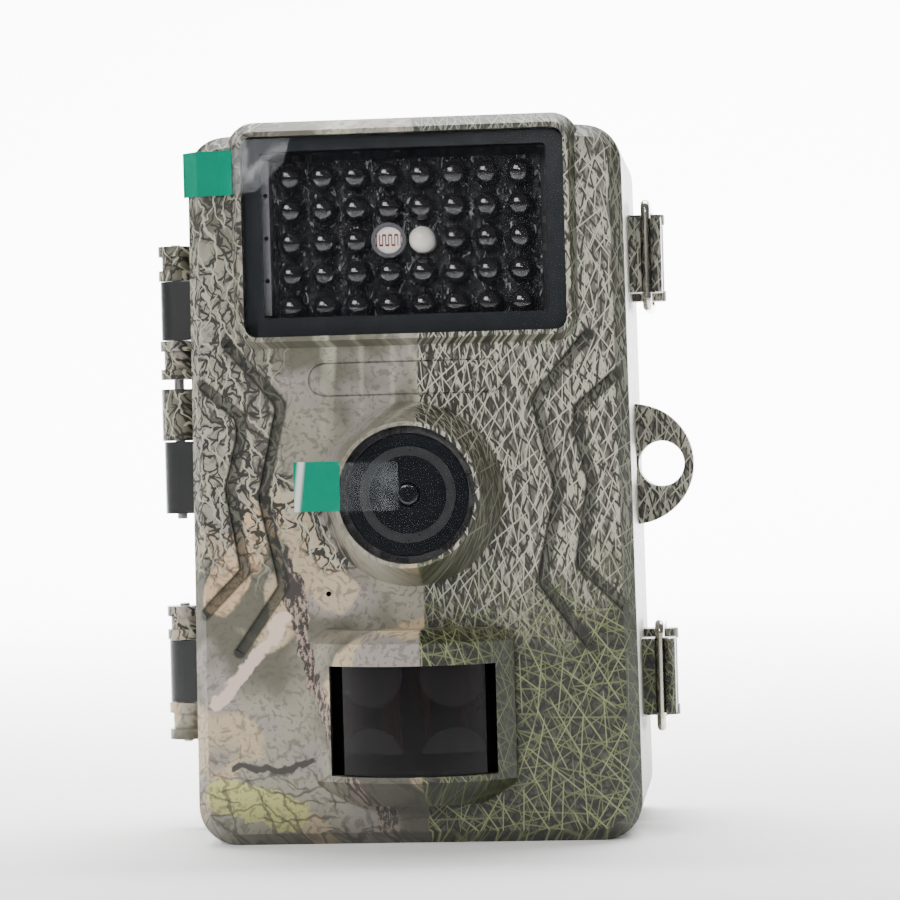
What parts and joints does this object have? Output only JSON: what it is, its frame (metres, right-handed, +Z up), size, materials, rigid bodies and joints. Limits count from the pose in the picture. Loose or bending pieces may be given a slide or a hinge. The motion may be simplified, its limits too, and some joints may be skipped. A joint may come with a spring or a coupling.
{
  "type": "trail camera",
  "caption": "Camouflaged trail camera with an infrared lamp window, fisheye lens, motion sensor hood, side hinge and two wire toggle latches.",
  "frame": {"origin": "Centre of the mouth of the tripod socket, in the middle of the base.", "axes": "+X to the right as seen from the front, +Y towards the back of the camera, +Z up; the lens looks along -Y."},
  "size_m": [0.1049, 0.078, 0.1356],
  "materials": {
    "bail_wire": "bright stainless wire",
    "battery_wrap": "blank printed sleeve",
    "black_gloss": "polished black",
    "black_plastic": "fine moulded texture",
    "board_black": "black solder mask",
    "board_green": "solder mask",
    "brass_insert": "turned",
    "button_rubber": "matt",
    "camo_shell": "film-printed camouflage on satin ABS",
    "clear_film": "clear film",
    "clear_led": "water-clear epoxy",
    "clear_pane": "clear polished",
    "collar_grey": "translucent grey sleeve",
    "connector_steel": "tinned",
    "dark_led": "dark tinted epoxy",
    "gasket_rubber": "matt",
    "green_film": "translucent green film",
    "grey_plastic": "satin grey",
    "lcd_glass": "dark display, unlit",
    "lens_glass": "coated",
    "photocell_white": "coated ceramic",
    "pin_steel": "bright",
    "smoked_window": "smoked, polished",
    "spring_steel": "nickel plated",
    "switch_grey": "satin"
  },
  "bodies": {
    "back_case": {"back_shell": "camo_shell", "case_gasket": "gasket_rubber", "tripod_insert": "brass_insert", "dc_jack": "black_plastic", "battery_tray": "black_plastic", "tray_screws": "pin_steel", "aa_cells": "battery_wrap", "battery_contacts": "spring_steel", "latch_pins": "pin_steel", "hinge_pins": "pin_steel", "back_padlock_lug": "camo_shell", "strap_loops": "camo_shell"},
    "front_case": {"board_switches": "switch_grey", "card_slot": "connector_steel", "chips": "black_plastic", "front_padlock_lug": "camo_shell", "front_shell": "camo_shell", "inner_panel": "black_plastic", "ir_leds": "dark_led", "ir_window_border": "black_gloss", "ir_window_pane": "clear_pane", "lcd_module": "lcd_glass", "lcd_window": "clear_pane", "led_board": "board_black", "led_holder": "black_gloss", "led_side_strip": "grey_plastic", "lens_barrel": "black_plastic", "lens_bezel": "black_gloss", "lens_element": "lens_glass", "lens_film": "clear_film", "lens_film_tab": "green_film", "lens_glass": "clear_pane", "lens_mount": "black_plastic", "lens_ring": "grey_plastic", "lens_seal": "gasket_rubber", "main_board": "board_green", "panel_screws": "pin_steel", "photocell": "photocell_white", "photocell_collar": "collar_grey", "pir_board": "board_green", "pir_frame": "black_plastic", "pir_sensor": "connector_steel", "pir_window": "smoked_window", "sensor_board": "board_green", "speaker": "black_plastic", "status_led": "clear_led", "usb_port": "connector_steel", "window_film": "clear_film", "window_film_tab": "green_film"},
    "upper_lever": {"upper_latch_lever": "black_plastic"},
    "upper_bail": {"upper_latch_bail": "bail_wire"},
    "lower_lever": {"lower_latch_lever": "black_plastic"},
    "lower_bail": {"lower_latch_bail": "bail_wire"},
    "down_button": {"down_button": "button_rubber"},
    "left_button": {"left_button": "button_rubber"},
    "menu_button": {"menu_button": "button_rubber"},
    "ok_button": {"ok_button": "button_rubber"},
    "right_button": {"right_button": "button_rubber"},
    "up_button": {"up_button": "button_rubber"},
    "power_switch": {"power_switch_knob": "switch_grey"}
  },
  "joints": [
    {"name": "case_hinge", "type": "hinge", "parent": "back_case", "child": "front_case", "pos_m": [-0.0492, -0.012, 0.066], "axis": [0, 0, -1], "range_deg": [0, 170]},
    {"name": "upper_lever_hinge", "type": "hinge", "parent": "back_case", "child": "upper_lever", "pos_m": [0.04479, -0.006, 0.11], "axis": [0, 0, -1], "range_deg": [0, 100]},
    {"name": "upper_bail_hinge", "type": "hinge", "parent": "upper_lever", "child": "upper_bail", "pos_m": [0.04419, 0, 0.11], "axis": [0, 0, -1], "range_deg": [-75, 0]},
    {"name": "lower_lever_hinge", "type": "hinge", "parent": "back_case", "child": "lower_lever", "pos_m": [0.04546, -0.006, 0.0286], "axis": [0, 0, -1], "range_deg": [0, 100]},
    {"name": "lower_bail_hinge", "type": "hinge", "parent": "lower_lever", "child": "lower_bail", "pos_m": [0.04486, 0, 0.0286], "axis": [0, 0, -1], "range_deg": [-75, 0]},
    {"name": "down_button_press", "type": "slide", "parent": "front_case", "child": "down_button", "axis": [0, -1, 0], "range_m": [0, 0.0006], "stiffness_N_per_m": 300},
    {"name": "left_button_press", "type": "slide", "parent": "front_case", "child": "left_button", "axis": [0, -1, 0], "range_m": [0, 0.0006], "stiffness_N_per_m": 300},
    {"name": "menu_button_press", "type": "slide", "parent": "front_case", "child": "menu_button", "axis": [0, -1, 0], "range_m": [0, 0.0006], "stiffness_N_per_m": 300},
    {"name": "ok_button_press", "type": "slide", "parent": "front_case", "child": "ok_button", "axis": [0, -1, 0], "range_m": [0, 0.0006], "stiffness_N_per_m": 300},
    {"name": "right_button_press", "type": "slide", "parent": "front_case", "child": "right_button", "axis": [0, -1, 0], "range_m": [0, 0.0006], "stiffness_N_per_m": 300},
    {"name": "up_button_press", "type": "slide", "parent": "front_case", "child": "up_button", "axis": [0, -1, 0], "range_m": [0, 0.0006], "stiffness_N_per_m": 300},
    {"name": "power_switch_slide", "type": "slide", "parent": "front_case", "child": "power_switch", "axis": [1, 0, 0], "range_m": [0, 0.005]}
  ],
  "couplings": [
    {"joint": "upper_bail_hinge", "follows": "upper_lever_hinge", "ratio": -0.75},
    {"joint": "lower_bail_hinge", "follows": "lower_lever_hinge", "ratio": -0.75}
  ]
}
